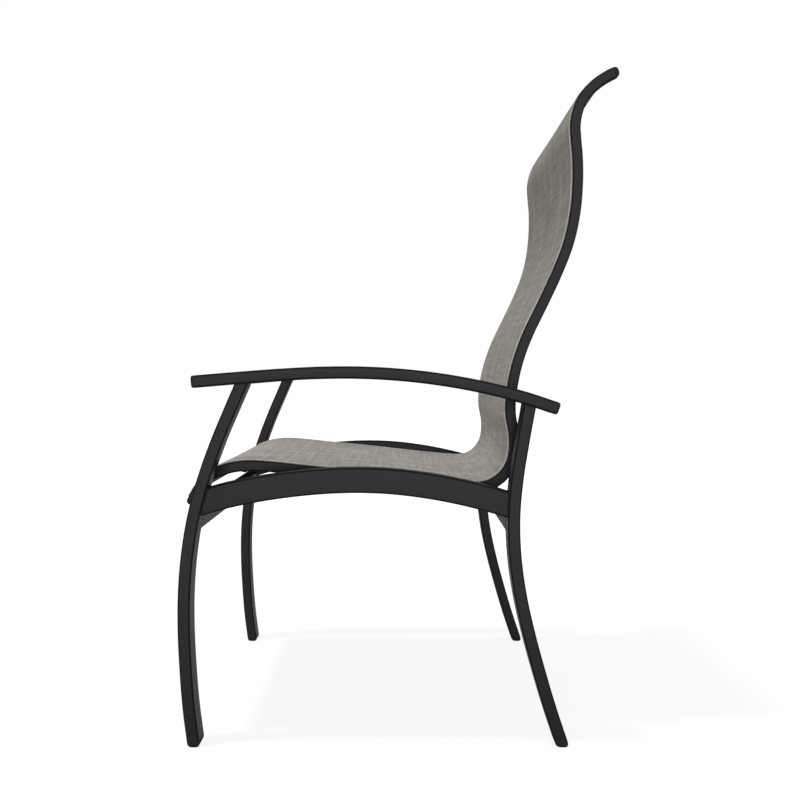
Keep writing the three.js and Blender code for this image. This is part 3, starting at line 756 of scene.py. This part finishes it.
def glide(name, node, line, x):
    """A foot, from the plug in the leg over its rounded shoulders to the floor."""
    place, along, normal = line.at(line.at_height(glide_height))
    shoulder = place - clearance * along

    def on_floor(point):
        return np.array([point[0] - along[0] * point[1] / along[1], 0])

    edges = [shoulder + sign * leg_thickness / 2 * normal for sign in (1, -1)]
    corners = [on_floor(edge) for edge in edges]
    middle = on_floor(shoulder)[0]
    ends = [(middle - glide_contact / 2, 0), (middle + glide_contact / 2, 0)]
    plug, half = shoulder + glide_plug * along, (leg_thickness / 2 - plug_inset) * normal
    levels = [between(plug + half, plug - half, leg_width - 2 * plug_inset, leg_corner)]
    for t in np.linspace(0, 1, cap_levels):
        front, back = (quadratic(edges[i], corners[i], ends[i], t) for i in (0, 1))
        levels.append(between(front, back, leg_width - 2 * rounded_in(t, glide_rounding), leg_corner))
    vertices, faces = lofted(levels)
    vertices[:, 0] += x
    make_mesh(name, vertices, outwards(vertices, faces), plastic, [node], sharp=50)


def arm_cap(name, node, at_start, x):
    """A cap with rounded edges in one end of an arm."""
    place, along, normal = arm.at(0 if at_start else arm.length)
    out = -along if at_start else along

    def level(height, inset):
        return (place + height * out, normal, arm_thickness - 2 * inset, arm_width - 2 * inset, arm_corner)

    levels = [level(-arm_plug, plug_inset), level(arm_neck, plug_inset), level(clearance, arm_cap_inset)]
    straight = arm_cap_height - arm_cap_edge
    for t in np.linspace(0, math.pi / 2, arm_cap_levels):
        levels.append(level(clearance + straight + arm_cap_edge * math.sin(t),
                            arm_cap_edge * (1 - math.cos(t))))
    vertices, faces = lofted(levels, 7)
    vertices[:, 0] += x
    make_mesh(name, vertices, outwards(vertices, faces), plastic, [node], sharp=50)


def rail_cap(name, node, at_start, x):
    """A cap in one end of a rail, with its crown nearer to the sling's side."""
    place, along, normal = rail.at(0 if at_start else rail.length)
    out = -along if at_start else along

    def at(depth, height):
        return place - depth * normal + height * out

    levels = [between(at(rail_plug_inset, height), at(rail_depth - rail_plug_inset, height),
                      rail_width - 2 * rail_plug_inset, rail_corner) for height in (-rail_plug, rail_neck)]
    crown = at(rail_cap_crown_share * rail_depth, rail_cap_height)
    for t in np.linspace(0, 1, cap_levels):
        front, back = (quadratic(at(depth, clearance), at(depth, rail_cap_height), crown, t)
                       for depth in (0, rail_depth))
        levels.append(between(front, back, rail_width - 2 * rounded_in(t, rail_cap_rounding), rail_corner))
    # The last level is too thin to have a direction of its own
    levels[-1] = levels[-1][:1] + (levels[-2][1],) + levels[-1][2:]
    vertices, faces = lofted(levels)
    vertices[:, 0] += x
    make_mesh(name, vertices, outwards(vertices, faces), plastic, [node], sharp=50)


for side, sign in SIDES:
    for place, line in (("front", front_leg), ("rear", rear_leg)):
        glide(f"foot_{place}_{side}", f"foot_glide_{place}_{side}", line, sign * leg_plane)
    for place in ("front", "rear"):
        arm_cap(f"arm_cap_{place}_{side}", f"arm_end_cap_{place}_{side}", place == "front",
                sign * leg_plane)
    for place in ("front", "top"):
        rail_cap(f"rail_cap_{place}_{side}", f"rail_end_cap_{place}_{side}", place == "front",
                 sign * rail_plane)


# Sling rails
def rail_outline(sign):
    """The rail's section, with zero depth on the face that the sling crosses and its open slot."""
    points, normals = rounded_section(rail_width, rail_depth, rail_corner)
    points = points - np.array([0, rail_depth / 2])
    slot = sign * (rail_width / 2 - slot_inset)
    top_start = len(points) // 4
    mouth = slot_width / 2
    cut = [(slot + mouth, 0), (slot + mouth, -slot_depth), (slot - mouth, -slot_depth), (slot - mouth, 0)]
    up, right, left = (0, 1), (1, 0), (-1, 0)
    extra = [(cut[0], up), (cut[0], left), (cut[1], left), (cut[1], up), (cut[2], up), (cut[2], right),
             (cut[3], right), (cut[3], up)]
    points = np.insert(points, top_start, [p for p, _ in extra], axis=0)
    normals = np.insert(normals, top_start, [n for _, n in extra], axis=0)
    return points, normals


for side, sign in SIDES:
    sweep(f"rail_extrusion_{side}", rail, rail_outline(sign), sign * rail_plane, 0, rail.length, coat,
          coat_slot, [f"sling_rail_{side}"], spacing=3.0)

# Sling
spans = len(rail.knot_s) - 1
sling_start, sling_end = rail.share(1 / spans), rail.share(1 - 1 / spans)


def sling_outline():
    """Closed section of the sling: over the top, down into one slot, back underneath and up again."""
    columns = 48
    edge = slot_plane + hem_thickness / 2
    inner = edge - hem_thickness
    flat = edge - sling_roll
    near = [flat, flat - fold_width / 2, flat - fold_width]
    x = np.concatenate([near, np.linspace(flat - 3 * fold_width, 3 * fold_width - flat, columns),
                        [-value for value in near[::-1]]])
    dip = sling_sag * (1 - (x / flat) ** 2)
    top = np.column_stack([x, sling_top - dip])
    corner = [(flat + sling_roll * math.sin(a), sling_top - sling_roll * (1 - math.cos(a)))
              for a in np.linspace(math.pi / 2, 0, 6)[:-1]]
    right = [(edge, -hem_depth)] + [(edge, height) for height in hem_heights] + corner
    left = [(-a, b) for a, b in right[::-1]]
    under_x = np.linspace(-inner, inner, columns)
    free_half = rail_inner_face - under_margin
    under_dip = sling_sag * np.clip(1 - (under_x / free_half) ** 2, 0, None)
    under = np.column_stack([under_x, sling_under - under_dip])
    return np.vstack([right, top[1:-1], left, [(-inner, -hem_depth)], under, [(inner, -hem_depth)]])


# Towards its top end the sheet's upper face drops, which leaves a thinner lip
outline = sling_outline()
vertices, _, along_s = swept(rail, (outline, np.zeros_like(outline)), 0, sling_start, sling_end)
thinned = np.clip((along_s - (sling_end - lip_length)) / (lip_ramp_share * lip_length), 0, 1)
above_lip = np.clip(outline[:, 1] - lip_top, 0, None)
vertices[..., 1:] -= rail.at(along_s)[2] * (thinned * above_lip)[..., None]
rings, points = vertices.shape[:2]

# The fold along each rail, where the sling's colour gets a painted highlight, and the places of the yarns.
# The underside starts after a share of the outline,
#  and its yarns lie a little beside those of the top.
beyond = np.clip((np.abs(outline[:, 0]) - (slot_plane - fold_width)) / fold_width, 0, 1)
fold_highlight = np.tile(np.sqrt(beyond), rings)
around = run_along(outline)
under_share, under_shift = 0.56, 0.4
uv_across = np.where(np.arange(points) < points * under_share, around, around + under_shift)
uv = np.stack([np.broadcast_to(uv_across * MM, (rings, points)), along_s * MM], -1).reshape(-1, 2)

vertices = vertices.reshape(-1, 3)
faces = skin_faces(rings, points)
faces.append(tuple(range(points)))
faces.append(tuple(range((rings - 1) * points, rings * points))[::-1])
sling = make_mesh("woven_sling", vertices, outwards(vertices, faces), woven, ["sling"],
                  uv=uv.tolist(), sharp=60, edge=fold_highlight)

for side, sign in SIDES:
    rod = round_section(rod_diameter, 14, (0, -rod_depth))
    sweep(f"rod_in_hem_{side}", rail, rod, sign * slot_plane, sling_start, sling_end, rod_plastic, rod_slot,
          [f"spline_rod_{side}"], spacing=8.0)


# Spreader bars
def spreader(name, share):
    """A bar between the rails that bows away behind the sling."""
    s = rail.share(share)
    _, along, normal = rail.at(s)
    place = rail.offset(s, -rail_depth / 2)
    half = rail_inner_face + bar_tongue
    u = np.linspace(0, 1, bar_rings)
    drop = bar_bow * (1 - np.cos(2 * math.pi * u)) / 2
    x = -half + 2 * half * u
    path = np.column_stack([x, place[0] - normal[0] * drop, place[1] - normal[1] * drop])
    tangent = np.gradient(path, axis=0)
    tangent /= np.linalg.norm(tangent, axis=1)[:, None]
    level = np.array([0, along[0], along[1]])
    other = np.cross(tangent, level)
    other /= np.linalg.norm(other, axis=1)[:, None]
    angle = turns(bar_sides)
    ring = other[:, None, :] * np.cos(angle)[None, :, None] + level * np.sin(angle)[None, :, None]
    vertices = (path[:, None, :] + bar_diameter / 2 * ring).reshape(-1, 3)
    faces = outwards(vertices, skin_faces(len(path), len(angle)))
    make_mesh(f"{name}_tube", vertices, faces, coat, [name], normals=ring.reshape(-1, 3))


spreader("seat_spreader_bar", seat_bar_share)
spreader("back_spreader_bar", back_bar_share)

# Bolts, washers, spacers and inserts, from (x, radius) pairs
for place, share, frame_face in (("seat", seat_bolt_share, panel_inner_face),
                                 ("back", back_bolt_share, leg_inner_face)):
    y, z = rail.offset(rail.share(share), -bolt_setback)
    washer_x = rail_inner_face - clearance
    washer_back = washer_x - washer_thickness
    head_x = washer_back - clearance
    bolt_end = frame_face + bolt_reach
    spacer_x = rail_outer_face + clearance
    flange_x = frame_face - clearance
    flange_back = flange_x - flange_thickness
    spacer_end = flange_back - clearance
    insert_end = frame_face + insert_reach
    forms = [
        ("bolt", steel, steel_slot, "rail_bolt",
         [(head_x - height, radius) for height, radius in bolt_head]
         + [(head_x, bolt_radius), (bolt_end, bolt_radius), (bolt_end, 0)]),
        ("washer", steel, steel_slot, "rail_washer",
         [(washer_back, hole_radius), (washer_back, ring_radius - washer_bevel),
          (washer_back + washer_bevel, ring_radius), (washer_x, ring_radius), (washer_x, hole_radius)]),
        ("spacer", plastic, plastic_slot, "rail_spacer",
         [(spacer_x, hole_radius), (spacer_x, ring_radius),
          (spacer_end, ring_radius), (spacer_end, hole_radius)]),
        ("insert", steel, steel_slot, "threaded_insert",
         [(flange_back, hole_radius), (flange_back, ring_radius), (flange_x, ring_radius),
          (flange_x, insert_radius), (insert_end, insert_radius), (insert_end, hole_radius)]),
    ]
    for side, sign in SIDES:
        for word, material, slot_name, node, profile in forms:
            vertices, faces = turned(profile, y, z, sign)
            make_mesh(f"{word}_{place}_{side}", vertices, outwards(vertices, faces), material,
                      [f"{node}_{place}_{side}"], sharp=35)

# Camera
scene = bpy.context.scene
camera_data = bpy.data.cameras.new("camera")
camera = bpy.data.objects.new("camera", camera_data)
scene.collection.objects.link(camera)
camera.location = (1.8, -0.0023, 0.6266)
camera.rotation_euler = (math.radians(90), 0, math.radians(90))
camera_data.lens = 40.0
camera_data.sensor_width = 36.0
camera_data.shift_x = -0.001
camera_data.shift_y = -0.034
scene.camera = camera

scene.view_settings.view_transform = "Standard"
scene.view_settings.look = "None"

# Floor and light, in metres. The floor's colour is one value for the light that it passes on, one for the
# view and one for gloss. In the view it also glows, so that it is white where it is lit and pale grey in
# the chair's shadow. Beyond the chair the glow rises to full white.
FLOOR_HALF = 12
FLOOR_LIT, FLOOR_SEEN, FLOOR_SHOWN = 0.51, 0.12, 0.17
FLOOR_GLOW, WHITE_STARTS, WHITE_ENDS = 0.883, -0.6, -2.0
# Gloss shows a glow too, which changes along X: from where to where, and by how much
SHINE_STEPS = ((0.1, 2.0, 0.64), (0.4, 0.0, 0.23), (-0.2, -1.2, -0.15))
# The world is white in the view. Its light is low at the horizon, lower still for gloss, and grows upwards.
SKY_LOW, SKY_LOW_SHOWN, SKY_HIGH = 0.25, 0.11, 0.9
# Two standing cards that only gloss shows, one on each side
CARD_PLACE, CARD_FOOT, CARD_HALF, CARD_TOP = 3.2, 0.02, 1.4, 2.8


def stage_sheet(name, corners, material):
    """A flat sheet of the studio, which is no part of the chair."""
    mesh = bpy.data.meshes.new(name)
    mesh.from_pydata(corners, [], [(0, 1, 2, 3)])
    mesh.materials.append(material)
    sheet = bpy.data.objects.new(name, mesh)
    scene.collection.objects.link(sheet)
    return sheet


def floor_material():
    material, nodes, links, shader = new_material("pale_floor")
    ray = nodes.new("ShaderNodeLightPath").outputs
    x = axes_of(nodes, links, object_place(nodes))["X"]
    shine = 0.0
    for start, end, strength in SHINE_STEPS:
        step = range_node(nodes, links, x, 0.0, strength, start, end)
        shine = math_node(nodes, links, "ADD", step, shine)
    shine = math_node(nodes, links, "MULTIPLY", ray["Is Glossy Ray"], shine)
    glow = range_node(nodes, links, x, FLOOR_GLOW, 1.0, WHITE_STARTS, WHITE_ENDS)
    glow = math_node(nodes, links, "MULTIPLY_ADD", ray["Is Camera Ray"], glow, shine)
    links.new(glow, shader.inputs["Emission Strength"])
    shade = math_node(nodes, links, "MULTIPLY_ADD", ray["Is Camera Ray"], FLOOR_SEEN - FLOOR_LIT, FLOOR_LIT)
    shade = math_node(nodes, links, "MULTIPLY_ADD", ray["Is Glossy Ray"], FLOOR_SHOWN - FLOOR_LIT, shade)
    tone = nodes.new("ShaderNodeCombineColor")
    for channel in tone.inputs:
        links.new(shade, channel)
    links.new(tone.outputs["Color"], shader.inputs["Base Color"])
    shader.inputs["Roughness"].default_value = 0.9
    shader.inputs["Specular IOR Level"].default_value = 0.0
    shader.inputs["Emission Color"].default_value = (1, 1, 1, 1)
    return material


stage_sheet("floor", [(-FLOOR_HALF, -FLOOR_HALF, 0), (FLOOR_HALF, -FLOOR_HALF, 0),
                      (FLOOR_HALF, FLOOR_HALF, 0), (-FLOOR_HALF, FLOOR_HALF, 0)], floor_material())

world = bpy.data.worlds.new("studio")
scene.world = world
world.use_nodes = True
nodes, links = world.node_tree.nodes, world.node_tree.links
ray = nodes.new("ShaderNodeLightPath").outputs
up = axes_of(nodes, links, nodes.new("ShaderNodeTexCoord").outputs["Generated"])["Z"]
up = math_node(nodes, links, "MAXIMUM", up, 0.0)
low = math_node(nodes, links, "MULTIPLY_ADD", ray["Is Glossy Ray"], SKY_LOW_SHOWN - SKY_LOW, SKY_LOW)
sky = math_node(nodes, links, "MULTIPLY_ADD", math_node(nodes, links, "MULTIPLY", up, up), SKY_HIGH, low)
background = nodes["Background"]
background.inputs["Color"].default_value = (1, 1, 1, 1)
links.new(math_node(nodes, links, "MAXIMUM", sky, ray["Is Camera Ray"]), background.inputs["Strength"])


def area_light(name, place, target, size, energy):
    """A lamp that neither the view nor gloss shows."""
    data = bpy.data.lights.new(name, "AREA")
    data.shape = "RECTANGLE"
    data.size, data.size_y = size
    data.energy = energy
    light = bpy.data.objects.new(name, data)
    scene.collection.objects.link(light)
    light.location = place
    light.rotation_euler = (Vector(target) - Vector(place)).to_track_quat("-Z", "Y").to_euler()
    light.visible_camera = False
    light.visible_glossy = False
    return light


def reflection_card(name, x, strength, rise=0.0):
    """A card that only gloss shows. rise is how much stronger it gets with each metre of height."""
    material, nodes, links, shader = new_material(name)
    height = axes_of(nodes, links, object_place(nodes))["Z"]
    links.new(math_node(nodes, links, "MULTIPLY_ADD", height, rise, strength),
              shader.inputs["Emission Strength"])
    shader.inputs["Base Color"].default_value = (0, 0, 0, 1)
    shader.inputs["Specular IOR Level"].default_value = 0.0
    shader.inputs["Emission Color"].default_value = (1, 1, 1, 1)
    card = stage_sheet(name, [(x, -CARD_HALF, CARD_FOOT), (x, CARD_HALF, CARD_FOOT),
                              (x, CARD_HALF, CARD_TOP), (x, -CARD_HALF, CARD_TOP)], material)
    card.visible_camera = False
    card.visible_diffuse = False
    card.visible_shadow = False


# The key stands high, in front of the chair and a little to the sitter's left. The narrow beam from low in
# front lights the lower back.
area_light("key", place=(1.62, -4.9, 18.6), target=(0, 0, 0), size=(1.1, 1.7), energy=2330)
low_front = area_light("low_front", place=(0, -1.3, 0.58), target=(0, 0.2, 0.53), size=(0.9, 0.15),
                       energy=0.15)
low_front.data.spread = math.radians(12)
reflection_card("near_card", CARD_PLACE, strength=0.66, rise=0.17)
reflection_card("far_card", -CARD_PLACE, strength=0.22)
